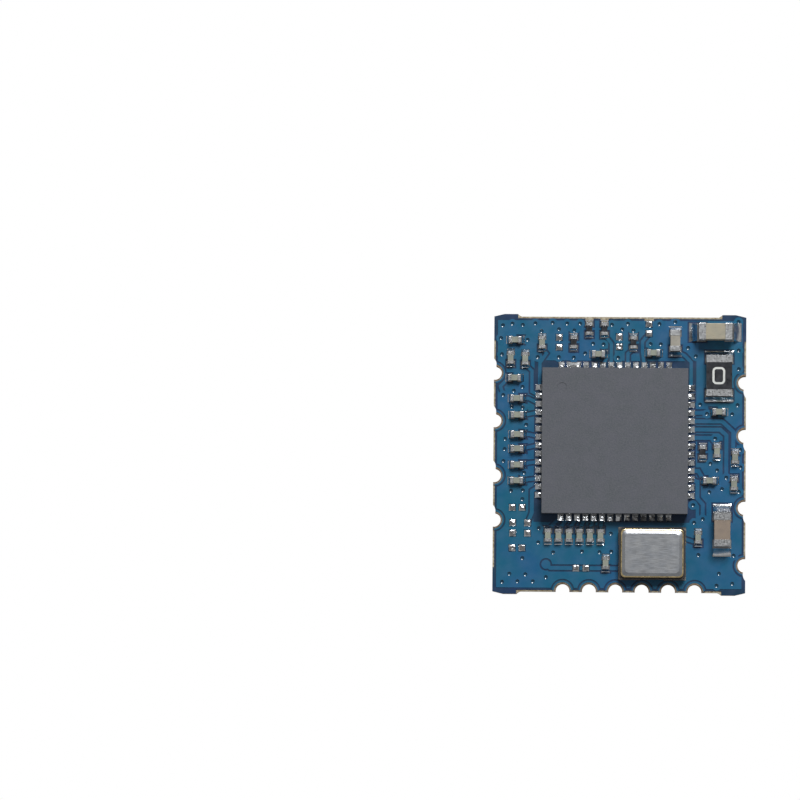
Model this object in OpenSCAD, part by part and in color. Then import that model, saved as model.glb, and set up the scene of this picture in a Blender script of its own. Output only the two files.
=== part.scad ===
// Castellated wireless module: a four-layer-thick stack of laminate, copper and solder mask that carries
// a 56-lead leadless chip, a seam-sealed crystal and chip passives.
// Origin: centre of the underside. +X along the short side, +Y towards the edge with no contacts, +Z out of
// the component side. Millimetres.

/* [Board] */
// Width of the board
board_w = 12.15; // [12.1:0.05:12.6]
// Length of the board between its routed edges
board_l = 13.27; // [13.2:0.05:13.8]
// Thickness of the bare laminate
core_t = 0.69; // [0.4:0.01:1.5]
// Thickness of each copper layer
copper_t = 0.035; // [0.018:0.001:0.07]
// Thickness of the solder mask over copper
mask_t = 0.02; // [0.01:0.002:0.03]
// Width of bare laminate left between the mask and a routed edge
mask_setback = 0.08; // [0.04:0.01:0.1]
// Distance from the copper pour to a routed edge
pour_setback = 0.2; // [0.16:0.01:0.3]
// Width of the bare laminate round a pad, in the mask
mask_margin = 0.03; // [0.025:0.005:0.04]
// Gap between the copper of two nets
clearance = 0.12; // [0.1:0.01:0.14]
// Extra width of the mask's raised step on each side of a track
mask_cover = 0.02; // [0.01:0.005:0.024]

/* [Broken-off panel tabs] */
// Length of each corner stub along the top or bottom edge
stub_l = 1.5; // [1.2:0.05:1.9]
// Height of each stub beyond the routed edge
stub_h = 0.12; // [0.06:0.01:0.2]
// Radius that the router left beside each stub
stub_r = 0.5; // [0.3:0.05:0.8]
// Length of mask that reaches the edge at each corner
stub_mask_l = 1.15; // [0.8:0.05:1.3]

/* [Edge contacts] */
// Drilled diameter of each half hole
contact_d = 0.75; // [0.6:0.05:0.85]
// Thickness of the plating in each half hole
contact_plating = 0.04; // [0.02:0.01:0.06]
// Distance from each half hole's centre to the board's edge
contact_inset = 0.04; // [0.01:0.01:0.08]
// Width of the copper ring round each half hole on the component side
contact_ring = 0.1; // [0.08:0.01:0.14]
// Spacing of the contacts along the bottom edge
contact_pitch = 1.27; // [1.1:0.01:1.3]
// Width of each contact's pad on the underside
contact_pad_w = 0.95; // [0.9:0.01:1]
// Length of each contact's pad on the underside, from the edge
contact_pad_l = 1.05; // [0.8:0.05:1.3]
// Radius of the worn run-in beside each side contact
run_in_r = 0.45; // [0.4:0.01:0.5]

/* [Vias] */
// Drilled diameter of a via
via_drill = 0.27; // [0.24:0.01:0.3]
// Thickness of a via's plating
via_plating = 0.025; // [0.015:0.005:0.03]
// Diameter of a via's copper pad
via_pad = 0.42; // [0.38:0.01:0.5]
// Width of the mask's lip inside the mouth of a via
via_lip = 0.012; // [0.008:0.002:0.02]

/* [Chip] */
// Side of the square chip
chip_w = 7; // [6.9:0.05:7.1]
// Height of the chip
chip_h = 0.85; // [0.7:0.05:1]
// Spacing of the chip's leads
lead_pitch = 0.4; // [0.38:0.01:0.4]
// Width of a lead
lead_w = 0.2; // [0.16:0.01:0.23]
// Length of a lead under the chip
lead_l = 0.4; // [0.3:0.05:0.5]
// Thickness of the lead frame
lead_t = 0.2; // [0.12:0.01:0.25]
// Width of the board's pad under a lead
land_w = 0.24; // [0.24:0.01:0.26]
// Length of the board's pad beyond the chip
land_toe = 0.3; // [0.2:0.05:0.35]
// Side of the exposed die pad
die_pad_w = 5.2; // [4.6:0.1:5.4]
// Side of the silicon die
die_w = 3.4; // [2.5:0.1:4]
// Thickness of the silicon die
die_t = 0.25; // [0.1:0.01:0.3]
// Diameter of the first-lead dimple
dimple_d = 0.46; // [0.3:0.02:0.6]
// Depth of the first-lead dimple
dimple_depth = 0.02; // [0.01:0.01:0.05]
// Distance from the dimple's centre to each side of the chip
dimple_inset = 0.95; // [0.6:0.05:1.3]

/* [Crystal] */
// Length of the crystal's ceramic base
crystal_l = 3.2; // [3.1:0.05:3.3]
// Width of the crystal's ceramic base
crystal_w = 2.5; // [2.4:0.05:2.6]
// Height of the ceramic base
crystal_base_h = 0.45; // [0.4:0.01:0.6]
// Width of the base left outside the seal ring
crystal_ledge = 0.09; // [0.05:0.01:0.12]
// Width of the seal ring
seal_w = 0.3; // [0.25:0.01:0.35]
// Height of the seal ring
seal_h = 0.12; // [0.08:0.01:0.2]
// Thickness of the lid
lid_t = 0.08; // [0.05:0.01:0.12]
// Width of the seal ring left outside the lid
lid_inset = 0.06; // [0.03:0.01:0.1]
// Width of the lid's sloping rim
lid_rim = 0.15; // [0.08:0.01:0.2]
// Thickness of the quartz blank
blank_t = 0.06; // [0.04:0.01:0.1]
// Thickness of the base's terminals
terminal_t = 0.03; // [0.02:0.01:0.05]

/* [Smallest capacitors and resistors] */
// Length of a small capacitor or resistor
small_l = 0.6; // [0.56:0.01:0.64]
// Width of a small capacitor or resistor
small_w = 0.3; // [0.26:0.01:0.33]
// Height of a small capacitor
small_cap_h = 0.3; // [0.2:0.01:0.36]
// Height of a small resistor
small_res_h = 0.23; // [0.18:0.01:0.3]
// Length of a small part's end termination
small_band = 0.15; // [0.1:0.01:0.18]
// Length of the pad beyond a small part
small_toe = 0.12; // [0.08:0.01:0.14]

/* [Medium capacitor] */
// Length of the medium capacitor
medium_l = 1; // [0.95:0.01:1.05]
// Width of the medium capacitor
medium_w = 0.5; // [0.45:0.01:0.55]
// Height of the medium capacitor
medium_h = 0.5; // [0.4:0.01:0.6]
// Length of the medium capacitor's end termination
medium_band = 0.25; // [0.15:0.01:0.32]
// Length of the pad beyond the medium capacitor
medium_toe = 0.21; // [0.15:0.01:0.24]

/* [Large capacitors] */
// Length of a large capacitor
large_l = 1.6; // [1.5:0.01:1.7]
// Width of a large capacitor
large_w = 0.8; // [0.75:0.01:0.85]
// Height of a large capacitor
large_h = 0.8; // [0.6:0.01:0.9]
// Length of a large capacitor's end termination
large_band = 0.33; // [0.2:0.01:0.4]
// Length of the pad beyond a large capacitor
large_toe = 0.44; // [0.3:0.01:0.46]

/* [Zero-ohm link] */
// Length of the link
link_l = 1.95; // [1.85:0.01:2.05]
// Width of the link
link_w = 1.25; // [1.2:0.01:1.3]
// Height of the link
link_h = 0.5; // [0.4:0.01:0.6]
// Length of the link's end termination
link_band = 0.32; // [0.25:0.01:0.45]
// Length of the pad beyond the link
link_toe = 0.23; // [0.15:0.01:0.26]

/* [Coatings and solder] */
// Thickness of the terminations round a chip part
band_t = 0.012; // [0.008:0.001:0.02]
// Thickness of the black overcoat on a resistor
overcoat_t = 0.012; // [0.008:0.001:0.02]
// Thickness of the solder under a part
solder_t = 0.03; // [0.022:0.001:0.05]
// Height of a solder fillet, as a share of the part's height
fillet_rise = 0.7; // [0.3:0.05:0.85]
// Height of the solder bumps on bare pads
bump_h = 0.09; // [0.05:0.01:0.14]
// Side of a bare pad
bare_pad = 0.3; // [0.26:0.01:0.34]

/* [Hidden] */
$fn = 48;
ARC_STEPS = 5;       // flats in each quarter of a rounded outline
FILLET_STEPS = 4;    // flats in the hollow of a solder fillet
PAST = 1;            // length by which a cutter runs past what it cuts
TRACK = 0.15;        // width of an ordinary track
FINE_TRACK = 0.12;   // width of a track between close parts

// Levels of the stack
under_copper_z = mask_t;
core_z = under_copper_z + copper_t;
top_copper_z = core_z + core_t;
top_mask_z = top_copper_z + copper_t;
seat_z = top_mask_z + solder_t;
via_bore = via_drill / 2 - via_plating;

// Chip
CHIP = [-0.22, 0.615];
pins_per_side = 14;
chip_half = chip_w / 2;
land_reach = chip_half + land_toe;
die_z = seat_z + lead_t;

// Crystal
CRYSTAL = [1.6, -4.78];
crystal_pad = [1.1, 0.85];
crystal_r = 0.2;
crystal_z = seat_z + terminal_t;
ring_z = crystal_z + crystal_base_h;
lid_z = ring_z + seal_h;
ring_l = crystal_l - 2 * crystal_ledge;
ring_w = crystal_w - 2 * crystal_ledge;
lid_l = ring_l - 2 * lid_inset;
lid_w = ring_w - 2 * lid_inset;
cavity_l = ring_l - 2 * seal_w;
cavity_w = ring_w - 2 * seal_w;
cavity_depth = 0.25;
shelf_l = 0.3;
shelf_h = 0.1;
blank_gap = 0.08;

// Chip parts: [length, width, height, end band, toe]
SMALL_CAP = [small_l, small_w, small_cap_h, small_band, small_toe];
SMALL_RES = [small_l, small_w, small_res_h, small_band, small_toe];
MEDIUM_CAP = [medium_l, medium_w, medium_h, medium_band, medium_toe];
LARGE_CAP = [large_l, large_w, large_h, large_band, large_toe];
LINK = [link_l, link_w, link_h, link_band, link_toe];

// Places of the parts: [x, y, turn]. The live end points along +X before the turn; the other is grounded.
TOP_CAPS = [[-5.06, 5.5, 0], [-5.27, 4.63, 270], [-4.565, 4.59, 270], [-3.76, 5.38, 270],
            [-1.035, 4.83, 0], [1.62, 4.9, 180]];
LEFT_CAPS = [[-5.08, 3.66, 180], [-4.96, 2.67, 0], [-4.93, 1.87, 0], [-4.93, 0.93, 0],
             [-4.93, 0.24, 0], [-4.93, -0.54, 0], [-4.94, -1.3, 0]];
ROW_CAPS = [for (i = [0:5]) [-3.415 + 0.506 * i, -3.94, 90]];
RIGHT_CAPS = [[4.78, 2.07, 180], [4.69, 0.17, 90], [5.56, -0.12, 90], [4.345, -1.245, 180],
              [5.515, -1.4, 90]];
CRYSTAL_CAPS = [[3.805, -3.98, 270], [-0.63, -5.24, 270]];
SMALL_RESISTORS = [[-1.49, 6.05, 90], [-0.755, 6.05, 270], [-2.23, 5.4, 90], [0.645, 5.4, 270],
                   [4, 0.13, 90]];
MEDIUM_PLACE = [2.66, 5.47, 270];
LARGE_TOP_PLACE = [4.585, 5.91, 180];
LARGE_RIGHT_PLACE = [4.95, -3.63, 90];
LINK_PLACE = [4.78, 3.79, 270];

// Bare pads of parts that are not fitted
BARE_PADS = [[-2.935, 5.63], [-2.935, 5.15], [-0.04, 5.67], [-0.04, 5.19], [1.39, 6.3], [1.39, 5.84],
             [-5.12, -3.34], [-5.12, -3.84], [-4.4, -3.34], [-4.4, -3.84], [-5.14, -2.6], [-4.66, -2.6],
             [-5.14, -4.55], [-4.66, -4.55], [-2.06, -5.5], [-1.575, -5.5]];
TEST_PAD = [-3.505, -5.33];
TEST_PAD_R = 0.2;

// Edge contacts: [x, y, outward direction]
contact_x = board_w / 2 - contact_inset;
contact_y = board_l / 2 - contact_inset;
LEFT_CONTACTS = [for (y = [3.9, 1.6, -1.05, -3.2]) [-contact_x, y, 180]];
RIGHT_CONTACTS = [for (y = [3.48, 0.92, -2.55, -5.32]) [contact_x, y, 0]];
BOTTOM_CONTACTS = [for (i = [0:5]) [0.475 + (i - 2.5) * contact_pitch, -contact_y, 270]];
CONTACTS = concat(LEFT_CONTACTS, RIGHT_CONTACTS, BOTTOM_CONTACTS);
contact_r = contact_d / 2;
run_in_depth = 0.12;
run_in_side = 0.42;

// Bare strips in the mask along the top edge: [centre, width]
BARE_STRIPS = [[-1.48, 0.4], [-0.755, 0.39], [1.4, 0.45]];
bare_strip_l = 0.19;

// Vias, as drilled
VIAS = [
    [-5.66, 6.2], [-5.2, 6.28], [-4.7, 6.22], [-4.09, 6.3], [-3.26, 6.33], [-2.56, 6.3], [-1.93, 6.3],
    [-0.4, 6.25], [0.37, 6.3], [1.89, 6.3], [2.65, 6.4], [5.7, 6.42], [-5.75, 5.58], [-5.7, 4.8],
    [-4.46, 5.5], [-3.79, 5.93], [-2.95, 6.02], [-2.21, 5.97], [0.1, 6.03], [0.64, 5.97], [-3.97, 4.67],
    [-2.95, 4.67], [-2.23, 4.65], [-1.68, 4.86], [-1.3, 5.33], [-0.8, 5.3], [-0.09, 4.66], [1.47, 5.33],
    [1.96, 5.32], [3.28, 5.15], [3.65, 4.75], [5.71, 5.04], [5.72, 4.14], [-4.69, 3.22], [-5.11, 3.03],
    [-5.62, 2.82], [3.87, 2.42], [5.67, 2.4], [-5.2, 2.25], [-4.68, 2.22], [-4.5, 1.39], [-5.51, 0.7],
    [-5.53, 0.21], [-5.59, -0.37], [-4.58, -0.92], [-5.21, -1.8], [-4.64, -1.78], [4.2, 1.97],
    [5.41, 1.96], [4.6, 0.78], [4.37, -0.43], [4.7, -0.75], [5.14, -1.1], [4.94, -1.65], [5.8, 0.25],
    [5.82, -0.6], [5.75, -1.78], [4.33, -1.8], [3.55, -2.43], [4.02, -3.1], [3.61, -3.28],
    [-4.66, -2.2], [-3.86, -3.6], [-3.88, -4.28], [-3.16, -4.76], [-4.64, -5.04], [-3.5, -5.95],
    [-1.77, -4.7], [-0.93, -4.73], [-0.36, -4.7], [-0.39, -3.83], [3.82, -4.83], [5.51, -4.85],
    [-5.26, -5.8], [-4.49, -5.82], [-5.61, -6.19], [-4.87, -6.16], [-4.13, -6.16], [4.81, -5.72],
    [4.7, -6.3], [5.45, -6.2]];

// Grid of vias under the die pad
THERMAL_VIAS = [for (i = [-2:2], j = [-2:2]) [CHIP[0] + i, CHIP[1] + j]];

// Tracks: [width, points]
TRACKS = [
    [TRACK, [lead_land(2, 3), [4.2, 2.03]]],
    [TRACK, [lead_land(2, 4), [4.93, 1.615], [5.47, 1.12], [5.47, 0.35], live_pad(RIGHT_CAPS[2], SMALL_CAP)]],
    [TRACK, [lead_land(2, 5), [4.84, 1.215], [5.14, 0.95], [5.14, -1.1]]],
    [TRACK, [lead_land(2, 6), [4.4, 0.815], live_pad(RIGHT_CAPS[1], SMALL_CAP)]],
    [TRACK, [lead_land(2, 10), [3.8, -0.785], live_pad(RIGHT_CAPS[3], SMALL_CAP)]],
    [TRACK, [lead_land(2, 11), [3.76, -1.3], [3.76, -2.1], [4.02, -2.4], [4.02, -3.1]]],
    [FINE_TRACK, [live_pad(MEDIUM_PLACE, MEDIUM_CAP), [3.1, 4.8], [3.43, 4.47], lead_land(2, 0)]],
    [FINE_TRACK, [live_pad(TOP_CAPS[3], SMALL_CAP), [-3.55, 4.85], [-3.86, 4.4], lead_land(0, 0)]],
    [FINE_TRACK, [live_pad(TOP_CAPS[2], SMALL_CAP), [-4.24, 4], [-4.24, 3], lead_land(0, 1)]],
    [FINE_TRACK, [live_pad(LEFT_CAPS[0], SMALL_CAP), [-5.76, 3.25], [-5.62, 2.82]]],
    [FINE_TRACK, [live_pad(LEFT_CAPS[1], SMALL_CAP), [-4.4, 2.67], lead_land(0, 2)]],
    [FINE_TRACK, [live_pad(LEFT_CAPS[2], SMALL_CAP), [-4.4, 1.9], lead_land(0, 3)]],
    [FINE_TRACK, [live_pad(LEFT_CAPS[3], SMALL_CAP), [-4.35, 0.93], lead_land(0, 6)]],
    [FINE_TRACK, [live_pad(LEFT_CAPS[4], SMALL_CAP), [-4.4, 0.3], lead_land(0, 7)]],
    [FINE_TRACK, [live_pad(LEFT_CAPS[5], SMALL_CAP), [-4.4, -0.45], lead_land(0, 9)]],
    [FINE_TRACK, [live_pad(LEFT_CAPS[6], SMALL_CAP), [-4.35, -1.25], lead_land(0, 11)]],
    [TRACK, [lead_land(0, 12), [-4.2, -1.8], [-4.2, -2.85], [-4.4, -3.34]]],
    [FINE_TRACK, [live_pad(SMALL_RESISTORS[1], SMALL_RES), [-0.42, 5.35], lead_land(3, 6)]],
    [FINE_TRACK, [live_pad(TOP_CAPS[4], SMALL_CAP), [-0.6, 4.75], lead_land(3, 5)]],
    [FINE_TRACK, [live_pad(SMALL_RESISTORS[3], SMALL_RES), [0.38, 4.85], lead_land(3, 8)]],
    [FINE_TRACK, [[1.39, 5.84], [1.08, 5.45], [1.08, 4.95], lead_land(3, 10)]],
    [FINE_TRACK, [live_pad(CRYSTAL_CAPS[0], SMALL_CAP), [3.3, -4.1], CRYSTAL + crystal_pad]],
    [TRACK, [TEST_PAD, [-3.3, -5.5], [0.1, -5.5], CRYSTAL - crystal_pad]],
    for (i = [0:5]) [FINE_TRACK, [lead_land(1, i), live_pad(ROW_CAPS[i], SMALL_CAP)]]];

// ---- Outlines by formula ----

function unit(v) = v / norm(v);
function left_of(v) = [-v[1], v[0]];
function turned(v, a) = [v[0] * cos(a) - v[1] * sin(a), v[0] * sin(a) + v[1] * cos(a)];
function xy(p) = [p[0], p[1]];

// Points of an arc round c, from angle a to angle b.
function arc(c, r, a, b, steps) =
    [for (i = [0:steps]) c + r * [cos(a + (b - a) * i / steps), sin(a + (b - a) * i / steps)]];

// A rectangle with rounded corners, centred.
function rounded(w, l, r) = [for (k = [0:3])
    each arc([(k == 0 || k == 3 ? 1 : -1) * (w / 2 - r), (k < 2 ? 1 : -1) * (l / 2 - r)], r,
             90 * k, 90 * k + 90, ARC_STEPS)];

// A line of the given width through the points, mitred at its bends and lengthened by more at each end.
function lengthened(p, more) = let (last = len(p) - 1)
    [for (i = [0:last]) i == 0 ? p[0] - more * unit(p[1] - p[0])
                      : i == last ? p[last] + more * unit(p[last] - p[last - 1]) : p[i]];
function mitre(p, i) = let (
        before = left_of(unit(p[max(i, 1)] - p[max(i, 1) - 1])),
        next = min(i, len(p) - 2),
        after = left_of(unit(p[next + 1] - p[next])))
    (before + after) / (1 + before * after);
function stroke(p, w, more = 0) = let (q = lengthened(p, more), last = len(q) - 1)
    concat([for (i = [0:last]) q[i] + mitre(q, i) * w / 2],
           [for (i = [last:-1:0]) q[i] - mitre(q, i) * w / 2]);

// ---- Places on the board ----

// Centre of a chip land's toe. Sides 0 to 3 are left, bottom, right and top; k counts from the left or the top.
function lead_offset(k) = (k - (pins_per_side - 1) / 2) * lead_pitch;
function lead_land(side, k) = let (far = chip_half + land_toe / 2) CHIP + (
    side == 0 ? [-far, -lead_offset(k)] : side == 1 ? [lead_offset(k), -far]
    : side == 2 ? [far, -lead_offset(k)] : [lead_offset(k), far]);

// A chip part's pad runs from pad_in to pad_out along its length.
function pad_out(size) = size[0] / 2 + size[4];
function pad_in(size) = size[0] / 2 - size[3];
function pad_w(size) = size[1] + 0.04;
function live_pad(place, size) = xy(place) + turned([(pad_in(size) + pad_out(size)) / 2, 0], place[2]);

module at(place) translate([place[0], place[1]]) rotate(place[2]) children();
module both_ends() for (end = [0, 1]) mirror([end, 0]) children();
module four_sides() for (k = [0:3]) rotate(90 * k) children();

// ---- Board plans (flat outlines) ----

module stub() {
    translate([board_w / 2, board_l / 2]) difference() {
        polygon([[-stub_l, -stub_h], [0, -stub_h], [0, 0], [-stub_l / 3, stub_h], [-stub_l, stub_h]]);
        translate([-stub_l, stub_r - stub_h / 4]) circle(stub_r);
    }
}

module run_in(c) at(c) translate([contact_inset + run_in_r - run_in_depth, -run_in_side]) circle(run_in_r);

module blank_plan() {
    difference() {
        union() {
            square([board_w, board_l], center = true);
            for (mx = [0, 1], my = [0, 1]) mirror([mx, 0]) mirror([0, my]) stub();
        }
        for (c = concat(LEFT_CONTACTS, RIGHT_CONTACTS)) run_in(c);
    }
}

module contact_circles(r) for (c = CONTACTS) at(c) circle(r);

module board_plan() {
    difference() {
        blank_plan();
        contact_circles(contact_r);
    }
}

module via_circles(r, vias = concat(VIAS, THERMAL_VIAS)) for (v = vias) translate(v) circle(r);

// Where mask may lie: to the edge at the corners, set back from it elsewhere.
module mask_area(ring = contact_ring / 2) {
    side = board_l - 2 * stub_mask_l;
    end = board_w - 2 * stub_mask_l;
    difference() {
        blank_plan();
        for (s = [-1, 1]) {
            translate([s * (board_w / 2 - mask_setback + PAST / 2), 0]) square([PAST, side], center = true);
            translate([0, s * (board_l / 2 - mask_setback + PAST / 2)]) square([end, PAST], center = true);
        }
        contact_circles(contact_r + ring);
    }
}

module bare_strips() {
    for (s = BARE_STRIPS)
        translate([s[0], board_l / 2]) square([s[1], 2 * bare_strip_l], center = true);
}

// The rectangle of one pad of a chip part, grown by g all round.
module pad_plan(size, g) {
    translate([pad_in(size) - g, -pad_w(size) / 2 - g])
        square([pad_out(size) - pad_in(size) + 2 * g, pad_w(size) + 2 * g]);
}

// The live pads, or both pads, of every chip part.
module part_pads(g, both) {
    module pads(places, size, floating = false)
        for (p = places) at(p) {
            pad_plan(size, g);
            if (both || floating) mirror([1, 0]) pad_plan(size, g);
        }
    pads(concat(TOP_CAPS, LEFT_CAPS, ROW_CAPS, RIGHT_CAPS, CRYSTAL_CAPS), SMALL_CAP);
    pads(SMALL_RESISTORS, SMALL_RES, true);
    pads([MEDIUM_PLACE], MEDIUM_CAP);
    pads([LARGE_TOP_PLACE, LARGE_RIGHT_PLACE], LARGE_CAP);
    pads([LINK_PLACE], LINK, true);
}

module lands(g) {
    translate(CHIP) four_sides() for (k = [0:pins_per_side - 1])
        translate([chip_half - lead_l - g, lead_offset(k) - land_w / 2 - g])
            square([lead_l + land_toe + 2 * g, land_w + 2 * g]);
}

module die_land(g) translate(CHIP) square(die_pad_w + 2 * g, center = true);

module crystal_pads(g) {
    translate(CRYSTAL) for (sx = [-1, 1], sy = [-1, 1])
        translate([sx * crystal_pad[0], sy * crystal_pad[1]]) square([1 + 2 * g, 0.8 + 2 * g], center = true);
}

module bare_pads(g) for (p = BARE_PADS) translate(p) square(bare_pad + 2 * g, center = true);

module tracks(g) for (t = TRACKS) polygon(stroke(t[1], t[0] + 2 * g, g));

module test_pad(g) translate(TEST_PAD) circle(TEST_PAD_R + g);

// Every pad opening in the mask.
module openings(g = mask_margin) {
    part_pads(g, true);
    lands(g);
    die_land(g);
    crystal_pads(g);
    bare_pads(g);
}

// The component side's copper, with every outline grown by g.
module top_copper_plan(g = 0) {
    gap = clearance - g;
    intersection() {
        board_plan();
        union() {
            difference() {
                square([board_w - 2 * (pour_setback - g), board_l - 2 * (pour_setback - g)], center = true);
                contact_circles(contact_r + contact_ring + gap);
                translate(CHIP) difference() {
                    square(2 * (land_reach + gap), center = true);
                    square(2 * (chip_half - lead_l - gap), center = true);
                }
                part_pads(gap, false);
                tracks(gap);
                test_pad(gap);
            }
            contact_circles(contact_r + contact_ring + g);
            part_pads(g, true);
            tracks(g);
            test_pad(g);
            lands(g);
            crystal_pads(g);
            bare_pads(g);
            via_circles(via_pad / 2 + g);
        }
    }
}

module underside_pad(c, g) {
    at(c) translate([contact_inset - contact_pad_l - g, -contact_pad_w / 2 - g])
        square([contact_pad_l + 2 * g + PAST, contact_pad_w + 2 * g]);
}

module underside_copper_plan(g = 0) {
    intersection() {
        board_plan();
        union() {
            difference() {
                square([board_w - 2 * (pour_setback - g), board_l - 2 * (pour_setback - g)], center = true);
                for (c = CONTACTS) underside_pad(c, clearance - g);
            }
            for (c = CONTACTS) underside_pad(c, g);
            via_circles(via_pad / 2 + g);
        }
    }
}

// ---- Board ----

module slab(z, t) translate([0, 0, z]) linear_extrude(t) children();

module laminate() {
    color("burlywood") slab(core_z, core_t) difference() {
        board_plan();
        via_circles(via_drill / 2);
    }
}

module copper_sheet(z) {
    color("goldenrod") slab(z, copper_t) difference() {
        children();
        contact_circles(contact_r);
        via_circles(via_drill / 2);
    }
}

module top_copper() copper_sheet(top_copper_z) top_copper_plan();

module underside_copper() copper_sheet(under_copper_z) underside_copper_plan();

// The mask fills the gaps in the copper and stands a step higher over it, and is open over each via.
module top_mask() {
    color("steelblue") {
        slab(top_copper_z, copper_t) difference() {
            mask_area();
            top_copper_plan();
            openings();
            bare_strips();
        }
        slab(top_mask_z, mask_t) difference() {
            intersection() {
                mask_area();
                top_copper_plan(mask_cover);
            }
            openings();
            bare_strips();
            via_circles(via_bore - via_lip, VIAS);
        }
    }
}

module underside_mask() {
    color("steelblue") {
        slab(under_copper_z, copper_t) difference() {
            mask_area();
            underside_copper_plan();
            for (c = CONTACTS) underside_pad(c, mask_margin);
        }
        slab(0, mask_t) difference() {
            mask_area();
            for (c = CONTACTS) underside_pad(c, mask_margin);
            via_circles(via_bore - via_lip);
        }
    }
}

// Plated half holes: tubes through the board, cut off along its edge.
module edge_contacts(contacts) {
    color("gold") slab(under_copper_z, core_t + 2 * copper_t) intersection() {
        blank_plan();
        for (c = contacts) at(c) difference() {
            circle(contact_r);
            circle(contact_r - contact_plating);
        }
    }
}

module left_edge_contacts() edge_contacts(LEFT_CONTACTS);

module right_edge_contacts() edge_contacts(RIGHT_CONTACTS);

module bottom_edge_contacts() edge_contacts(BOTTOM_CONTACTS);

module via_barrels() {
    color("goldenrod") slab(under_copper_z, core_t + 2 * copper_t) difference() {
        via_circles(via_drill / 2);
        via_circles(via_bore);
    }
}

// Ink that fills each via to the level of the copper, which leaves a dimple in the mask.
module via_plugs() color("steelblue") slab(under_copper_z, core_t + 2 * copper_t) via_circles(via_bore);

// ---- Chip ----

// The leads' metal, which ends flush with the side and the underside of the moulding.
module lead_frame_plan() {
    four_sides() for (k = [0:pins_per_side - 1])
        translate([chip_half - lead_l, lead_offset(k) - lead_w / 2]) square([lead_l, lead_w]);
}

module chip_mould() {
    color("dimgray") translate([CHIP[0], CHIP[1], seat_z]) difference() {
        linear_extrude(chip_h) square(chip_w, center = true);
        translate([-chip_half + dimple_inset, chip_half - dimple_inset, chip_h - dimple_depth])
            cylinder(h = PAST, d = dimple_d);
        translate([0, 0, -PAST]) linear_extrude(PAST + lead_t) {
            lead_frame_plan();
            square(die_pad_w, center = true);
        }
        linear_extrude(lead_t + die_t) square(die_w, center = true);
    }
}

module chip_leads() color("silver") translate([CHIP[0], CHIP[1], seat_z]) linear_extrude(lead_t) lead_frame_plan();

module chip_die_pad() {
    color("silver") translate([CHIP[0], CHIP[1], seat_z]) linear_extrude(lead_t) square(die_pad_w, center = true);
}

module chip_die() {
    color("slategray") translate([CHIP[0], CHIP[1], die_z]) linear_extrude(die_t) square(die_w, center = true);
}

// ---- Solder ----

// Side view of a solder joint: a film from inner to outer, and a hollow fillet that climbs the part's end face.
function solder_profile(inner, face, outer, rise) = let (toe = outer - face, foot = 0.2 * solder_t)
    concat([[inner, 0], [outer, 0], [outer, solder_t + foot]],
           [for (i = [1:FILLET_STEPS]) let (a = 90 * i / FILLET_STEPS)
               [outer - toe * sin(a) * 0.8, solder_t + foot + (rise - foot) * (1 - cos(a))]],
           [[face, solder_t + rise], [face, solder_t], [inner, solder_t]]);

module solder_joint(inner, face, outer, rise, w) {
    translate([0, 0, top_mask_z]) rotate([90, 0, 0]) linear_extrude(w, center = true)
        polygon(solder_profile(inner, face, outer, rise));
}

module part_solder(places, size) {
    color("lightgray") for (p = places) at(p) both_ends()
        solder_joint(pad_in(size), size[0] / 2, pad_out(size), fillet_rise * size[2], size[1]);
}

module chip_lead_solder() {
    bridge = lead_pitch / 2;
    color("lightgray") translate([CHIP[0], CHIP[1], 0]) {
        four_sides() for (k = [0:pins_per_side - 1]) translate([0, lead_offset(k), 0])
            solder_joint(chip_half - lead_l, chip_half, land_reach, fillet_rise * lead_t, lead_w);
        // Two joints that ran together on the top row
        translate([lead_offset(1) + bridge, 0, 0]) rotate(90)
            solder_joint(chip_half + land_toe / 4, chip_half + land_toe / 4, land_reach - land_toe / 4,
                         fillet_rise * lead_t / 2, lead_pitch);
    }
}

module chip_pad_solder() {
    color("lightgray") translate([CHIP[0], CHIP[1], top_mask_z]) linear_extrude(solder_t)
        square(die_pad_w, center = true);
}

// ---- Crystal ----

module crystal_at(z) translate([CRYSTAL[0], CRYSTAL[1], z]) children();

module crystal_cavity() {
    translate([0, 0, crystal_base_h - cavity_depth]) linear_extrude(cavity_depth + PAST)
        polygon(rounded(cavity_l, cavity_w, crystal_r / 2));
}

module crystal_base() {
    color("darkslategray") crystal_at(crystal_z) {
        difference() {
            linear_extrude(crystal_base_h) difference() {
                square([crystal_l, crystal_w], center = true);
                for (sx = [-1, 1], sy = [-1, 1]) translate([sx * crystal_l / 2, sy * crystal_w / 2])
                    circle(crystal_ledge * 1.4);
            }
            crystal_cavity();
        }
        // Shelves that hold the blank off the floor
        for (s = [-1, 1])
            translate([s * (cavity_l - shelf_l) / 2 - shelf_l / 2, -cavity_w / 2, crystal_base_h - cavity_depth])
                cube([shelf_l, cavity_w, shelf_h]);
    }
}

module crystal_seal_ring() {
    color("gold") crystal_at(ring_z) linear_extrude(seal_h) difference() {
        polygon(rounded(ring_l, ring_w, crystal_r));
        polygon(rounded(cavity_l, cavity_w, crystal_r / 2));
    }
}

// A solid between two outlines with as many points each, the second h above the first.
module frustum(low, high, h) {
    n = len(low);
    polyhedron(
        points = concat([for (p = low) [p[0], p[1], 0]], [for (p = high) [p[0], p[1], h]]),
        faces = concat([[for (i = [0:n - 1]) i]], [[for (i = [n - 1:-1:0]) n + i]],
                       [for (i = [0:n - 1]) [i, i + n, (i + 1) % n + n, (i + 1) % n]]));
}

module crystal_lid() {
    color("silver") crystal_at(lid_z)
        frustum(rounded(lid_l, lid_w, crystal_r),
                rounded(lid_l - 2 * lid_rim, lid_w - 2 * lid_rim, crystal_r), lid_t);
}

module crystal_blank() {
    color("azure") crystal_at(ring_z - cavity_depth + shelf_h) linear_extrude(blank_t)
        square([cavity_l - 2 * blank_gap, cavity_w - 4 * blank_gap], center = true);
}

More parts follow.
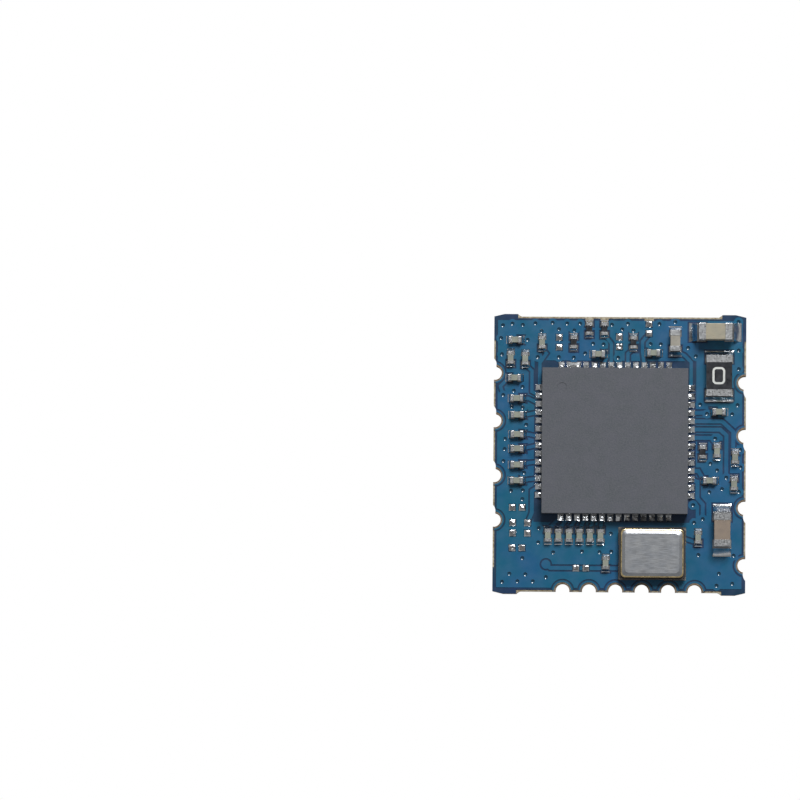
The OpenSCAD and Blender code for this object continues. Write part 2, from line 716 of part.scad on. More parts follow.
module crystal_foot_plan() {
    for (sx = [-1, 1], sy = [-1, 1])
        translate([sx * crystal_pad[0], sy * crystal_pad[1]]) square([0.9, 0.7], center = true);
}

module crystal_terminals() color("gold") crystal_at(seat_z) linear_extrude(terminal_t) crystal_foot_plan();

module crystal_solder() {
    color("lightgray") crystal_at(top_mask_z) linear_extrude(solder_t) for (sx = [-1, 1], sy = [-1, 1])
        translate([sx * crystal_pad[0], sy * crystal_pad[1]]) square([1, 0.8], center = true);
}

// ---- Chip capacitors and resistors ----

module block(l, w, z, h) translate([0, 0, seat_z + z]) linear_extrude(h) square([l, w], center = true);

// The ceramic, which the end bands wrap by band_t on five faces.
module bodies(places, size, over = 0) {
    for (p = places) at(p)
        block(size[0] - 2 * band_t, size[1] - 2 * band_t, band_t, size[2] - 2 * band_t - over);
}

module ends(places, size) {
    color("silver") for (p = places) at(p) both_ends() difference() {
        translate([size[0] / 2 - size[3], -size[1] / 2, seat_z]) cube([size[3], size[1], size[2]]);
        block(size[0] - 2 * band_t, size[1] - 2 * band_t, band_t, size[2] - 2 * band_t);
    }
}

module overcoats(places, size) {
    color("black") for (p = places) at(p)
        block(size[0] - 2 * size[3], size[1] - 2 * band_t, size[2] - band_t, overcoat_t);
}

module top_cap_bodies() color("darkkhaki") bodies(TOP_CAPS, SMALL_CAP);

module top_cap_ends() ends(TOP_CAPS, SMALL_CAP);

module top_cap_solder() part_solder(TOP_CAPS, SMALL_CAP);

module left_cap_bodies() color("darkkhaki") bodies(LEFT_CAPS, SMALL_CAP);

module left_cap_ends() ends(LEFT_CAPS, SMALL_CAP);

module left_cap_solder() part_solder(LEFT_CAPS, SMALL_CAP);

module row_cap_bodies() color("darkkhaki") bodies(ROW_CAPS, SMALL_CAP);

module row_cap_ends() ends(ROW_CAPS, SMALL_CAP);

module row_cap_solder() part_solder(ROW_CAPS, SMALL_CAP);

module right_cap_bodies() color("darkkhaki") bodies(RIGHT_CAPS, SMALL_CAP);

module right_cap_ends() ends(RIGHT_CAPS, SMALL_CAP);

module right_cap_solder() part_solder(RIGHT_CAPS, SMALL_CAP);

module crystal_cap_bodies() color("darkkhaki") bodies(CRYSTAL_CAPS, SMALL_CAP);

module crystal_cap_ends() ends(CRYSTAL_CAPS, SMALL_CAP);

module crystal_cap_solder() part_solder(CRYSTAL_CAPS, SMALL_CAP);

module small_resistor_bodies() color("white") bodies(SMALL_RESISTORS, SMALL_RES);

module small_resistor_overcoats() overcoats(SMALL_RESISTORS, SMALL_RES);

module small_resistor_ends() ends(SMALL_RESISTORS, SMALL_RES);

module small_resistor_solder() part_solder(SMALL_RESISTORS, SMALL_RES);

module medium_cap_body() color("tan") bodies([MEDIUM_PLACE], MEDIUM_CAP);

module medium_cap_ends() ends([MEDIUM_PLACE], MEDIUM_CAP);

module medium_cap_solder() part_solder([MEDIUM_PLACE], MEDIUM_CAP);

module large_top_cap_body() color("tan") bodies([LARGE_TOP_PLACE], LARGE_CAP);

module large_top_cap_ends() ends([LARGE_TOP_PLACE], LARGE_CAP);

module large_top_cap_solder() part_solder([LARGE_TOP_PLACE], LARGE_CAP);

module large_right_cap_body() color("rosybrown") bodies([LARGE_RIGHT_PLACE], LARGE_CAP);

module large_right_cap_ends() ends([LARGE_RIGHT_PLACE], LARGE_CAP);

module large_right_cap_solder() part_solder([LARGE_RIGHT_PLACE], LARGE_CAP);

module link_body() color("white") bodies([LINK_PLACE], LINK);

module link_overcoat() overcoats([LINK_PLACE], LINK);

module link_ends() ends([LINK_PLACE], LINK);

module link_solder() part_solder([LINK_PLACE], LINK);

// A low dome of solder on each bare pad.
module bare_pad_solder() {
    reach = bare_pad / 2;
    r = (reach * reach + bump_h * bump_h) / (2 * bump_h);
    color("lightgray") for (p = BARE_PADS) translate([p[0], p[1], top_mask_z]) {
        intersection() {
            translate([0, 0, bump_h - r]) sphere(r);
            translate([-reach, -reach, 0]) cube(2 * reach);
        }
    }
}

laminate();
top_copper();
underside_copper();
top_mask();
underside_mask();
left_edge_contacts();
right_edge_contacts();
bottom_edge_contacts();
via_barrels();
via_plugs();
chip_mould();
chip_leads();
chip_die_pad();
chip_die();
chip_lead_solder();
chip_pad_solder();
crystal_base();
crystal_seal_ring();
crystal_lid();
crystal_blank();
crystal_terminals();
crystal_solder();
top_cap_bodies();
top_cap_ends();
top_cap_solder();
left_cap_bodies();
left_cap_ends();
left_cap_solder();
row_cap_bodies();
row_cap_ends();
row_cap_solder();
right_cap_bodies();
right_cap_ends();
right_cap_solder();
crystal_cap_bodies();
crystal_cap_ends();
crystal_cap_solder();
small_resistor_bodies();
small_resistor_overcoats();
small_resistor_ends();
small_resistor_solder();
medium_cap_body();
medium_cap_ends();
medium_cap_solder();
large_top_cap_body();
large_top_cap_ends();
large_top_cap_solder();
large_right_cap_body();
large_right_cap_ends();
large_right_cap_solder();
link_body();
link_overcoat();
link_ends();
link_solder();
bare_pad_solder();
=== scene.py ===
"""Looks of the castellated wireless module: materials, soldered joints, print, camera, light and stage."""
import math

import bmesh
import bpy
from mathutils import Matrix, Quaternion, Vector, noise


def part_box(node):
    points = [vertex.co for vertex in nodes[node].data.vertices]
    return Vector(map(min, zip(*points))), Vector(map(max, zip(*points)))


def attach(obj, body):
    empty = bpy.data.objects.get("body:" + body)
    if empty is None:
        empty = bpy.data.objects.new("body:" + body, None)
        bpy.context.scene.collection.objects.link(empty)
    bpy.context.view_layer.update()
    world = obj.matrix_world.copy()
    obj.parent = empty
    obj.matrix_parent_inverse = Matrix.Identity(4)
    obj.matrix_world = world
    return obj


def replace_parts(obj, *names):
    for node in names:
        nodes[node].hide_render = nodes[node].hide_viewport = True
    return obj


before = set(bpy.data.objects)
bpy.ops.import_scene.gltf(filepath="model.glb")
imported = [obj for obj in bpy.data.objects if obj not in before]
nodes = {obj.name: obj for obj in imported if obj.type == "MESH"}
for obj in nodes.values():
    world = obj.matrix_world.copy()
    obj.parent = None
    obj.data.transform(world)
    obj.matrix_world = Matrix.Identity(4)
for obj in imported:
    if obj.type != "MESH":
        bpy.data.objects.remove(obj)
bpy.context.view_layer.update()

MM = 0.001
TAU = 2 * math.pi


def box_mm(node):
    """Lowest and highest corner of a CAD node, in millimetres."""
    low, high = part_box(node)
    return Vector(low) / MM, Vector(high) / MM


def srgb(r, g, b):
    """A colour given as 0 to 255 display values, in the linear values that a shader takes."""
    def lin(v):
        v /= 255
        return v / 12.92 if v <= 0.04045 else ((v + 0.055) / 1.055) ** 2.4
    return (lin(r), lin(g), lin(b), 1.0)


# ---- Levels from the frame, and sizes that the pieces share, in millimetres ----

COPPER_TOP = box_mm("top_copper")[1].z      # face of the component side's copper
MASK_TOP = box_mm("top_mask")[1].z          # raised face of the mask
FILM = 0.02         # solder under a part
SKIN = 0.003        # least height of solder over its pad
WET = 0.03          # how far solder spreads past its pad
TOE_WET = 0.05      # the same at the chip's toes
BOWL_DEPTH = 0.035  # dip of the ink in a via
FIGURE = (0.305, 0.415)     # half width and half height of the figure 0
FIGURE_R = 0.2      # its corner radius
STROKE = 0.1        # width of its line
PRINT_T = 0.007     # thickness of the print, part of it sunk in the overcoat
PRINT_SINK = 0.001


# ---- Shader building ----

class Shader:
    """A material with a Principled shader, and short calls for the nodes that feed it."""

    def __init__(self, name, colour, roughness, metallic=0.0, **sockets):
        self.material = bpy.data.materials.new(name)
        self.material.use_nodes = True
        self.tree = self.material.node_tree
        self.bsdf = self.tree.nodes["Principled BSDF"]
        self.set("Base Color", colour)
        self.set("Roughness", roughness)
        self.set("Metallic", metallic)
        for key, value in sockets.items():
            self.set(key.replace("_", " "), value)
        coords = self.node("ShaderNodeTexCoord")
        scaled = self.node("ShaderNodeVectorMath", operation="SCALE")
        scaled.inputs["Scale"].default_value = 1 / MM
        self.link(coords.outputs["Object"], scaled.inputs[0])
        self.mm = scaled.outputs[0]         # position in millimetres

    def node(self, kind, **props):
        n = self.tree.nodes.new(kind)
        for key, value in props.items():
            setattr(n, key, value)
        return n

    def link(self, a, b):
        self.tree.links.new(a, b)

    def set(self, socket, value):
        self.bsdf.inputs[socket].default_value = value

    def drive(self, socket, output):
        self.link(output, self.bsdf.inputs[socket])

    def noise(self, per_mm, detail=2.0, rough=0.5, stretch=None):
        """Noise from 0 to 1, with per_mm features in a millimetre; stretch scales it along each axis."""
        n = self.node("ShaderNodeTexNoise")
        n.inputs["Scale"].default_value = per_mm
        n.inputs["Detail"].default_value = detail
        n.inputs["Roughness"].default_value = rough
        where = self.mm
        if stretch:
            m = self.node("ShaderNodeVectorMath", operation="MULTIPLY")
            m.inputs[1].default_value = stretch
            self.link(where, m.inputs[0])
            where = m.outputs[0]
        self.link(where, n.inputs["Vector"])
        return n.outputs["Fac"]

    def axis(self, name):
        s = self.node("ShaderNodeSeparateXYZ")
        self.link(self.mm, s.inputs[0])
        return s.outputs[name]

    def spread(self, value, low, high, to_low=0.0, to_high=1.0):
        m = self.node("ShaderNodeMapRange")
        self.link(value, m.inputs["Value"])
        for key, v in (("From Min", low), ("From Max", high), ("To Min", to_low), ("To Max", to_high)):
            m.inputs[key].default_value = v
        return m.outputs["Result"]

    def mix(self, factor, a, b):
        """Blends two colours, each a value or a node's output."""
        m = self.node("ShaderNodeMix", data_type="RGBA")
        self.link(factor, m.inputs["Factor"])
        for socket, colour in ((m.inputs[6], a), (m.inputs[7], b)):
            if isinstance(colour, tuple):
                socket.default_value = colour
            else:
                self.link(colour, socket)
        return m.outputs[2]

    def bump(self, height, depth_mm, strength):
        b = self.node("ShaderNodeBump")
        b.inputs["Strength"].default_value = strength
        b.inputs["Distance"].default_value = depth_mm * MM
        self.link(height, b.inputs["Height"])
        return b.outputs["Normal"]


def mask_shader():
    """Semi-gloss blue mask: lighter teal where it lies on copper, darker where it fills the gaps."""
    s = Shader("solder_mask", srgb(20, 86, 118), 0.34, Coat_Weight=0.25, Coat_Roughness=0.2)
    step = s.spread(s.axis("Z"), COPPER_TOP + 0.004, MASK_TOP - 0.004)
    cloud = s.spread(s.noise(0.55, 2.0), 0.35, 0.65)
    copper = s.mix(cloud, srgb(12, 88, 116), srgb(22, 84, 124))
    gap = s.mix(cloud, srgb(14, 50, 74), srgb(20, 48, 84))
    s.drive("Base Color", s.mix(step, gap, copper))
    s.drive("Roughness", s.spread(s.noise(2.2, 3.0), 0.3, 0.7, 0.28, 0.42))
    s.drive("Normal", s.bump(s.noise(3.0, 2.0), 0.006, 0.6))
    return s.material


def via_shader():
    """Glossy ink in the vias, darker than the mask round it."""
    s = Shader("via_ink", srgb(16, 60, 84), 0.2, Coat_Weight=0.5, Coat_Roughness=0.1)
    s.drive("Base Color", s.mix(s.spread(s.noise(4.0), 0.3, 0.7), srgb(14, 54, 76), srgb(20, 68, 92)))
    return s.material


def laminate_shader():
    """Tan glass-epoxy: pale weave on the faces, stacked glass layers on the cut edge."""
    s = Shader("laminate", srgb(150, 138, 112), 0.7)
    layers = s.node("ShaderNodeTexWave", bands_direction="Z")
    layers.inputs["Scale"].default_value = 3.4
    layers.inputs["Distortion"].default_value = 1.2
    layers.inputs["Detail Scale"].default_value = 4.0
    s.link(s.mm, layers.inputs["Vector"])
    fibres = s.noise(9.0, 3.0, stretch=(1.0, 1.0, 5.0))
    tan = s.mix(s.spread(layers.outputs["Fac"], 0.2, 0.8), srgb(128, 112, 84), srgb(172, 160, 132))
    s.drive("Base Color", s.mix(s.spread(fibres, 0.35, 0.75), tan, srgb(186, 180, 160)))
    s.drive("Normal", s.bump(fibres, 0.01, 0.8))
    return s.material


def metal_shader(name, colour, roughness, mottle=0.12, grain_mm=5.0, bump_mm=0.004):
    """A metal with cloudy colour, uneven roughness and a fine bump."""
    s = Shader(name, colour, roughness, 1.0)
    cloud = s.noise(grain_mm, 3.0)
    dark = tuple(c * (1 - mottle * 2) for c in colour[:3]) + (1.0,)
    s.drive("Base Color", s.mix(s.spread(cloud, 0.3, 0.7), dark, colour))
    s.drive("Roughness", s.spread(s.noise(grain_mm * 1.7, 2.0), 0.3, 0.7, roughness * 0.75, roughness * 1.3))
    s.drive("Normal", s.bump(s.noise(grain_mm * 2, 2.0), bump_mm, 0.7))
    return s.material


def lid_shader():
    """The lid's rolled nickel: faint brushing along its length, and slight stains."""
    s = Shader("lid_metal", srgb(190, 192, 196), 0.36, 1.0)
    brushed = s.noise(6.0, 4.0, stretch=(0.35, 6.0, 1.0))
    stains = s.noise(2.2, 3.0)
    worn = s.mix(s.spread(stains, 0.35, 0.7), srgb(176, 180, 186), srgb(200, 202, 204))
    s.drive("Base Color", s.mix(s.spread(brushed, 0.3, 0.7, 0.0, 0.5), worn, srgb(160, 164, 170)))
    s.drive("Roughness", s.spread(brushed, 0.3, 0.7, 0.3, 0.45))
    s.drive("Normal", s.bump(brushed, 0.002, 0.5))
    return s.material


def mould_shader():
    """Fine-grained moulding compound."""
    s = Shader("mould_compound", srgb(70, 74, 82), 0.62)
    grain = s.noise(14.0, 4.0, 0.7)
    cloud = s.noise(1.3, 2.0)
    base = s.mix(s.spread(cloud, 0.3, 0.7), srgb(64, 70, 76), srgb(74, 76, 86))
    s.drive("Base Color", s.mix(s.spread(grain, 0.3, 0.7), base, srgb(84, 86, 92)))
    s.drive("Normal", s.bump(grain, 0.01, 0.8))
    return s.material


def ceramic_shader(name, pale, dark, speck=0.3):
    """Fired ceramic of a chip part: cloudy, with fine dark specks."""
    s = Shader(name, pale, 0.5)
    cloud = s.spread(s.noise(2.5, 3.0), 0.3, 0.7)
    base = s.mix(cloud, pale, dark)
    specks = s.spread(s.noise(16.0, 2.0), 0.62, 0.72, 0.0, speck)
    s.drive("Base Color", s.mix(specks, base, srgb(74, 66, 58)))
    s.drive("Roughness", s.spread(cloud, 0.0, 1.0, 0.42, 0.6))
    s.drive("Normal", s.bump(s.noise(9.0, 3.0), 0.006, 0.6))
    return s.material


def glaze_shader():
    """Black overcoat of a resistor."""
    s = Shader("black_overcoat", srgb(34, 36, 42), 0.3)
    cloud = s.spread(s.noise(5.0, 3.0), 0.3, 0.7)
    s.drive("Base Color", s.mix(cloud, srgb(30, 32, 36), srgb(42, 44, 50)))
    s.drive("Roughness", s.spread(cloud, 0.0, 1.0, 0.25, 0.42))
    s.drive("Normal", s.bump(s.noise(4.0, 2.0), 0.006, 0.5))
    return s.material


def glass_shader():
    """Clear quartz, faintly frosted."""
    s = Shader("quartz", srgb(225, 232, 236), 0.08, Transmission_Weight=0.8)
    s.drive("Roughness", s.spread(s.noise(3.0), 0.3, 0.7, 0.04, 0.12))
    return s.material


MASK = mask_shader()
LAMINATE = laminate_shader()
COPPER = metal_shader("tinned_copper", srgb(150, 146, 140), 0.4)
GOLD = metal_shader("gold_plating", srgb(150, 126, 98), 0.45, 0.2, 4.0)
RING_GOLD = metal_shader("seal_ring_gold", srgb(238, 214, 160), 0.3, 0.1, 3.0)
TIN = metal_shader("matt_tin", srgb(206, 208, 210), 0.34, 0.14, 8.0)
SOLDER = metal_shader("bright_solder", srgb(226, 228, 230), 0.2, 0.1, 7.0, 0.003)
LID = lid_shader()
MOULD = mould_shader()
DARK_CERAMIC = ceramic_shader("crystal_ceramic", srgb(44, 42, 42), srgb(34, 32, 34), 0.1)
SMALL_CERAMIC = ceramic_shader("small_capacitor_ceramic", srgb(140, 144, 132), srgb(122, 126, 116))
MEDIUM_CERAMIC = ceramic_shader("medium_capacitor_ceramic", srgb(150, 146, 136), srgb(138, 134, 124))
TAN_CERAMIC = ceramic_shader("tan_capacitor_ceramic", srgb(158, 150, 130), srgb(142, 138, 124))
BROWN_CERAMIC = ceramic_shader("brown_capacitor_ceramic", srgb(136, 122, 108), srgb(120, 108, 98))
ALUMINA = ceramic_shader("alumina", srgb(222, 222, 216), srgb(208, 208, 204), 0.08)
OVERCOAT = glaze_shader()
SILICON = metal_shader("silicon", srgb(96, 100, 112), 0.2)
QUARTZ = glass_shader()


# ---- CAD nodes keep their shape and get a finish ----

def finish(names, material, edge=0.0, segments=2):
    """Gives CAD nodes a material and, where edge is above 0, rounds their sharp edges by that many millimetres."""
    for name in names:
        obj = nodes[name]
        obj.data.materials.clear()
        obj.data.materials.append(material)
        weld = obj.modifiers.new("weld", "WELD")
        weld.merge_threshold = 2e-8
        if edge:
            bevel = obj.modifiers.new("edge", "BEVEL")
            bevel.width = edge * MM
            bevel.segments = segments
            bevel.limit_method = "ANGLE"
            bevel.angle_limit = math.radians(40)


groups = ("top", "left", "row", "right", "crystal")
finish(["laminate"], LAMINATE)
finish(["top_copper", "via_barrels"], COPPER)
finish(["underside_copper", "left_edge_contacts", "right_edge_contacts", "bottom_edge_contacts",
        "crystal_terminals"], GOLD)
finish(["top_mask", "underside_mask", "via_plugs"], MASK)
finish(["chip_mould"], MOULD, 0.03)
finish(["chip_leads", "chip_die_pad"], TIN)
finish(["chip_die"], SILICON)
finish(["crystal_base"], DARK_CERAMIC, 0.03)
finish(["crystal_seal_ring"], RING_GOLD, 0.03)
finish(["crystal_lid"], LID, 0.02)
finish(["crystal_blank"], QUARTZ)
finish([g + "_cap_bodies" for g in groups], SMALL_CERAMIC, 0.02)
finish([g + "_cap_ends" for g in groups] + ["small_resistor_ends"], TIN, 0.03)
finish(["small_resistor_bodies", "link_body"], ALUMINA, 0.01)
finish(["small_resistor_overcoats", "link_overcoat"], OVERCOAT, 0.005)
finish(["medium_cap_body"], MEDIUM_CERAMIC, 0.03)
finish(["large_top_cap_body"], TAN_CERAMIC, 0.05)
finish(["large_right_cap_body"], BROWN_CERAMIC, 0.05)
finish(["medium_cap_ends", "large_top_cap_ends", "large_right_cap_ends"], TIN, 0.06, 3)
finish(["link_ends"], TIN, 0.03)
finish(["chip_lead_solder", "chip_pad_solder", "crystal_solder", "bare_pad_solder", "medium_cap_solder",
        "large_top_cap_solder", "large_right_cap_solder", "link_solder", "small_resistor_solder"]
       + [g + "_cap_solder" for g in groups], SOLDER)


# ---- Reading the frame: one record per solder joint ----

def islands(obj):
    """The corners of each separate solid of a CAD node, as lists of points in millimetres."""
    keys = {}
    index = [keys.setdefault(tuple(round(c / MM, 4) for c in v.co), len(keys)) for v in obj.data.vertices]
    parent = list(range(len(keys)))

    def root(i):
        while parent[i] != i:
            parent[i] = parent[parent[i]]
            i = parent[i]
        return i

    for polygon in obj.data.polygons:
        first = root(index[polygon.vertices[0]])
        for v in polygon.vertices[1:]:
            parent[root(index[v])] = first
    found = {}
    for key, i in keys.items():
        found.setdefault(root(i), []).append(Vector(key))
    return list(found.values())


def extent(points):
    """Lowest and highest corner of some points."""
    return (Vector([min(p[a] for p in points) for a in range(3)]),
            Vector([max(p[a] for p in points) for a in range(3)]))


def joint(points):
    """Where a fillet lies: its face line's middle, outward direction, reach inward and outward, width, levels."""
    low, high = extent(points)
    base, top = low.z, high.z
    crest = [p for p in points if p.z > top - 0.002]
    near, far = extent(crest)
    along = 0 if far.x - near.x < far.y - near.y else 1     # the axis that the fillet runs down
    face = crest[0][along]
    slope = [p[along] - face for p in points if base + 0.5 * (top - base) < p.z < top - 0.002]
    out = 1 if sum(slope) > 0 else -1
    reach = [(p[along] - face) * out for p in points]
    across = 1 - along
    middle = Vector((0, 0, base))
    middle[along], middle[across] = face, (low[across] + high[across]) / 2
    outward = Vector((0, 0, 0))
    outward[along] = out
    return {"at": middle, "out": outward, "inner": -min(reach), "outer": max(reach),
            "width": high[across] - low[across], "rise": top - base}


# ---- Soldered joints ----

def add_grid(bm, rows):
    """A closed solid under a grid of points: rows of top points, walls down to the base, and a floor."""
    base = min(p.z for row in rows for p in row)
    top = [[bm.verts.new(p * MM) for p in row] for row in rows]
    for a, b in zip(top, top[1:]):
        for i in range(len(a) - 1):
            bm.faces.new((a[i], b[i], b[i + 1], a[i + 1]))
    rim = top[0] + [row[-1] for row in top[1:]] + top[-1][-2::-1] + [row[0] for row in top[-2:0:-1]]
    foot = [bm.verts.new((v.co.x, v.co.y, base * MM - 0.000001)) for v in rim]
    n = len(rim)
    for i in range(n):
        bm.faces.new((rim[i], rim[(i + 1) % n], foot[(i + 1) % n], foot[i]))
    bm.faces.new(foot[::-1])


def wobble(x, y, size):
    """A smooth unevenness from -1 to 1, with features of about the given size in millimetres."""
    return noise.noise(Vector((x / size, y / size, 3.7)))


def concave(t):
    """Share of the rise left at t along a fillet that wets the end face and flattens towards its toe."""
    return (1 - t) ** 1.9


def pillow(t):
    """Share of the rise left at t along a full, rounded joint."""
    return 0.55 + 0.45 * math.cos(math.pi * min(1.0, t * 0.9)) if t > 0.35 else 1.0


def fillet_rows(j, shape, spread, uneven, steps=9, lanes=11):
    """Top points of one joint: a flat film under the part, then the fillet from the face line to the toe."""
    side = Vector((-j["out"].y, j["out"].x, 0))
    half = j["width"] / 2
    rows = []
    stations = [(-j["inner"], 0.0, 0.0), (0.0, 0.0, 0.0)]
    stations += [(j["outer"] * t, t, 1.0) for t in [(i / steps) ** 0.9 for i in range(steps + 1)]]
    for along, t, full in stations:
        row = []
        for i in range(lanes):
            a = 2 * i / (lanes - 1) - 1
            a = math.copysign(1 - (1 - abs(a)) ** 1.5, a)
            reach = half * (1 + spread * (0.4 + 0.6 * t) * full)
            p = j["at"] + j["out"] * along + side * (a * reach)
            shoulder = (1 - abs(a) ** 4) ** 0.5
            toe = (1 - t ** 10) ** 0.5
            rise = (j["rise"] - FILM) * shape(t)
            lump = 1 + uneven * wobble(p.x, p.y, 0.35 * j["width"] + 0.08)
            lift = (rise * (0.25 + 0.75 * shoulder) * lump + FILM * shoulder) * toe + SKIN
            p.z += lift if full else FILM
            row.append(p)
        rows.append(row)
    return rows


def new_piece(name, bm, material, smooth_below=40):
    """Makes the mesh a piece of the scene on the fixed body, smooth where faces meet below an angle in degrees."""
    mesh = bpy.data.meshes.new(name)
    bmesh.ops.recalc_face_normals(bm, faces=bm.faces)
    bm.to_mesh(mesh)
    bm.free()
    mesh.materials.append(material)
    mesh.shade_smooth()
    mesh.set_sharp_from_angle(angle=math.radians(smooth_below))
    obj = bpy.data.objects.new(name, mesh)
    bpy.context.collection.objects.link(obj)
    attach(obj, "root")
    return obj


def solder_joints(node, shape, spread, uneven, steps=9, lanes=11, wet=WET):
    """Stands for a CAD solder node with fillets that wet the pad, round off at its edges and sit unevenly."""
    bm = bmesh.new()
    for points in islands(nodes[node]):
        j = joint(points)
        j["width"] += 2 * wet
        j["outer"] += wet
        add_grid(bm, fillet_rows(j, shape, spread, uneven, steps, lanes))
    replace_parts(new_piece(node + "_joints", bm, SOLDER), node)


def bare_pad_bumps():
    """Uneven pillows of solder on the pads of parts that are not fitted."""
    bm = bmesh.new()
    steps = 10
    for points in islands(nodes["bare_pad_solder"]):
        low, high = extent(points)
        low -= Vector((WET, WET, 0))
        high += Vector((WET, WET, 0))
        rows = []
        for i in range(steps + 1):
            row = []
            for k in range(steps + 1):
                a, b = 2 * i / steps - 1, 2 * k / steps - 1
                x = (low.x + high.x) / 2 + a * (high.x - low.x) / 2
                y = (low.y + high.y) / 2 + b * (high.y - low.y) / 2
                dome = ((1 - a ** 4) * (1 - b ** 4)) ** 0.55
                z = low.z + SKIN + (high.z - low.z) * dome * (0.95 + 0.35 * wobble(x, y, 0.16))
                row.append(Vector((x, y, z)))
            rows.append(row)
        add_grid(bm, rows)
    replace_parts(new_piece("bare_pad_bumps", bm, SOLDER), "bare_pad_solder")


def via_fill():
    """Mask ink in each via, sunk in a bowl on both faces."""
    bm = bmesh.new()
    around, rings = 16, 5
    turns = [TAU * k / around for k in range(around)]
    for points in islands(nodes["via_plugs"]):
        low, high = extent(points)
        x, y = (low.x + high.x) / 2, (low.y + high.y) / 2
        r = (high.x - low.x) / 2
        profile = [(r * math.sin(a), high.z - BOWL_DEPTH * math.cos(a) ** 2)
                   for a in [i * math.pi / 2 / rings for i in range(1, rings + 1)]]
        profile += [(q, low.z + high.z - z) for q, z in profile[::-1]]
        loops = [[bm.verts.new(Vector((x + q * math.cos(t), y + q * math.sin(t), z)) * MM) for t in turns]
                 for q, z in profile]
        for a, b in zip(loops, loops[1:]):
            for k in range(around):
                n = (k + 1) % around
                bm.faces.new((a[k], a[n], b[n], b[k]))
        for ring, z in ((loops[0], high.z - BOWL_DEPTH), (loops[-1], low.z + BOWL_DEPTH)):
            tip = bm.verts.new(Vector((x, y, z)) * MM)
            for k in range(around):
                bm.faces.new((ring[k], ring[(k + 1) % around], tip))
    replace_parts(new_piece("via_ink", bm, VIA_INK, smooth_below=60), "via_plugs")


def rounded_loop(cx, cy, half_w, half_h, r, steps=6):
    """Points of a rounded rectangle, anticlockwise from the right."""
    points = []
    for k, (sx, sy) in enumerate(((1, 1), (-1, 1), (-1, -1), (1, -1))):
        for i in range(steps + 1):
            a = math.pi / 2 * (k + i / steps)
            points.append((cx + sx * (half_w - r) + r * math.cos(a), cy + sy * (half_h - r) + r * math.sin(a)))
    return points


def printed_ring(name, outer, inner, z, thick, material):
    """A flat ring of print between two outlines with as many points each."""
    bm = bmesh.new()
    loops = [[bm.verts.new(Vector((x, y, h)) * MM) for x, y in line]
             for line, h in ((outer, z), (outer, z + thick), (inner, z + thick), (inner, z))]
    n = len(outer)
    for a, b in zip(loops, loops[1:] + loops[:1]):
        for k in range(n):
            bm.faces.new((a[k], a[(k + 1) % n], b[(k + 1) % n], b[k]))
    return new_piece(name, bm, material)


def link_marking():
    """The plain figure 0 printed on the zero-ohm link."""
    low, high = box_mm("link_overcoat")
    cx, cy = (low.x + high.x) / 2 - 0.03, (low.y + high.y) / 2      # printed a little to the left
    half_w, half_h = FIGURE
    outer = rounded_loop(cx, cy, half_w, half_h, FIGURE_R)
    inner = rounded_loop(cx, cy, half_w - STROKE, half_h - STROKE, FIGURE_R - STROKE)
    printed_ring("link_figure_0", outer, inner, high.z - PRINT_SINK, PRINT_T, WHITE_PRINT)


WHITE_PRINT = ceramic_shader("white_print", srgb(206, 208, 204), srgb(186, 190, 188), 0.15)
VIA_INK = via_shader()
LARGE_JOINTS = ["large_top_cap_solder", "large_right_cap_solder", "link_solder"]
SMALL_JOINTS = [g + "_cap_solder" for g in groups] + ["small_resistor_solder", "medium_cap_solder"]
for name in LARGE_JOINTS:
    solder_joints(name, concave, 0.06, 0.35, 14, 21)
for name in SMALL_JOINTS:
    solder_joints(name, concave, 0.12, 0.3)
solder_joints("chip_lead_solder", pillow, 0.0, 0.25, wet=TOE_WET)
bare_pad_bumps()
via_fill()
link_marking()


# ---- Stage, light and camera ----

def stage_floor():
    """A floor that the camera sees as pure white, and that throws little light back at the module."""
    mesh = bpy.data.meshes.new("floor")
    r = 0.6
    mesh.from_pydata([(-r, -r, 0), (r, -r, 0), (r, r, 0), (-r, r, 0)], [], [(0, 1, 2, 3)])
    floor = bpy.data.objects.new("floor", mesh)
    bpy.context.collection.objects.link(floor)
    m = bpy.data.materials.new("white_floor")
    m.use_nodes = True
    tree = m.node_tree
    bsdf = tree.nodes["Principled BSDF"]
    bsdf.inputs["Base Color"].default_value = (0.3, 0.3, 0.3, 1)
    bsdf.inputs["Roughness"].default_value = 0.9
    bsdf.inputs["Specular IOR Level"].default_value = 0.0
    glow = tree.nodes.new("ShaderNodeEmission")
    glow.inputs["Strength"].default_value = 1.0
    path = tree.nodes.new("ShaderNodeLightPath")
    seen = tree.nodes.new("ShaderNodeMath")
    seen.operation = "MAXIMUM"
    tree.links.new(path.outputs["Is Camera Ray"], seen.inputs[0])
    tree.links.new(path.outputs["Is Transmission Ray"], seen.inputs[1])
    mix = tree.nodes.new("ShaderNodeMixShader")
    tree.links.new(seen.outputs[0], mix.inputs[0])
    tree.links.new(bsdf.outputs[0], mix.inputs[1])
    tree.links.new(glow.outputs[0], mix.inputs[2])
    tree.links.new(mix.outputs[0], tree.nodes["Material Output"].inputs["Surface"])
    mesh.materials.append(m)


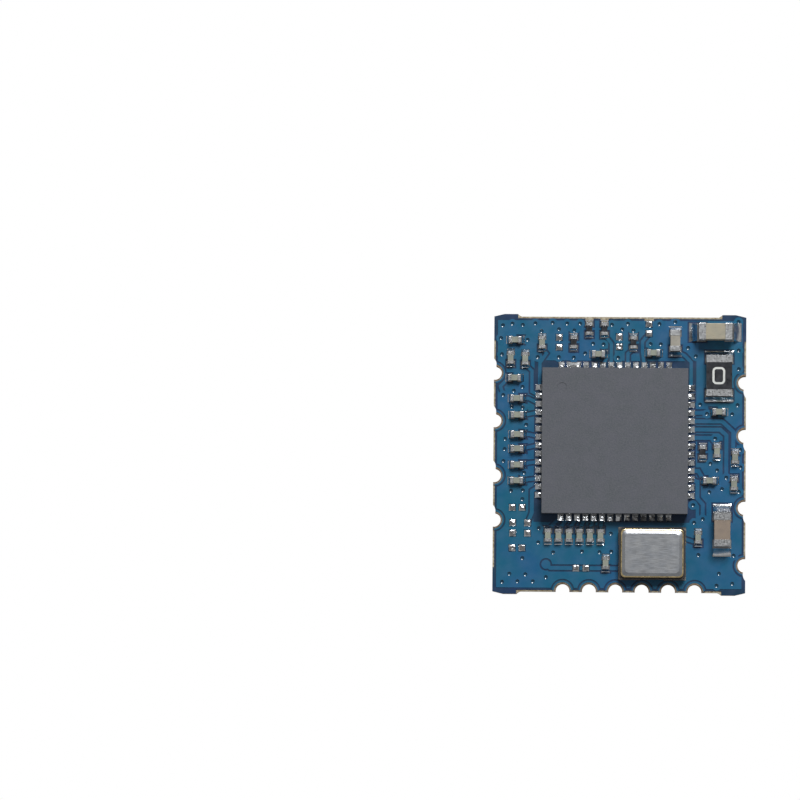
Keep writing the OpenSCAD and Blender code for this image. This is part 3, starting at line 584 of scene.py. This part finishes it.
def world_light(low, high):
    """White to the camera; to the module a room that is lighter at its walls than overhead."""
    world = bpy.data.worlds.new("studio")
    bpy.context.scene.world = world
    world.use_nodes = True
    tree = world.node_tree
    back = tree.nodes["Background"]
    back.inputs["Color"].default_value = (1, 1, 1, 1)
    path = tree.nodes.new("ShaderNodeLightPath")
    level = tree.nodes.new("ShaderNodeMapRange")
    sight = tree.nodes.new("ShaderNodeTexCoord")
    split = tree.nodes.new("ShaderNodeSeparateXYZ")
    tree.links.new(sight.outputs["Generated"], split.inputs[0])
    room = tree.nodes.new("ShaderNodeMapRange")
    room.inputs["To Min"].default_value = low
    room.inputs["To Max"].default_value = high
    tree.links.new(split.outputs["Z"], room.inputs["Value"])
    tree.links.new(room.outputs["Result"], level.inputs["To Min"])
    level.inputs["To Max"].default_value = 1.0
    tree.links.new(path.outputs["Is Camera Ray"], level.inputs["Value"])
    tree.links.new(level.outputs["Result"], back.inputs["Strength"])


def softbox(name, at, aim, size, power):
    """A round lamp of the given size in metres and power in watts, aimed at a point."""
    data = bpy.data.lights.new(name, "AREA")
    data.shape = "DISK"
    data.size = size
    data.energy = power
    lamp = bpy.data.objects.new(name, data)
    lamp.location = at
    lamp.rotation_euler = (Vector(aim) - Vector(at)).to_track_quat("-Z", "Y").to_euler()
    bpy.context.collection.objects.link(lamp)


def camera():
    """Nearly straight above, as the photograph has it: the module stands right of the middle of the frame."""
    height = 230            # over the board, in millimetres
    south = math.radians(3.15)      # how far the camera stands towards -Y, seen from the module
    data = bpy.data.cameras.new("camera")
    data.sensor_width = 36
    data.lens = 214.92
    data.clip_start = 0.001
    cam = bpy.data.objects.new("camera", data)
    cam.location = Vector((0, -height * math.tan(south), height + 0.8)) * MM
    aim = Quaternion()
    for axis, degrees in (((0, 1, 0), 2.64), ((1, 0, 0), 3.78), ((0, 0, 1), 0.53)):     # pan, tilt, roll
        aim = aim @ Quaternion(axis, math.radians(degrees))
    cam.rotation_mode = "QUATERNION"
    cam.rotation_quaternion = aim
    bpy.context.collection.objects.link(cam)
    bpy.context.scene.camera = cam


stage_floor()
world_light(0.5, 0.12)
softbox("key", (0.06, 0.25, 0.3), (0, 0, 0), 0.16, 1.75)
camera()
bpy.context.scene.view_settings.view_transform = "Standard"
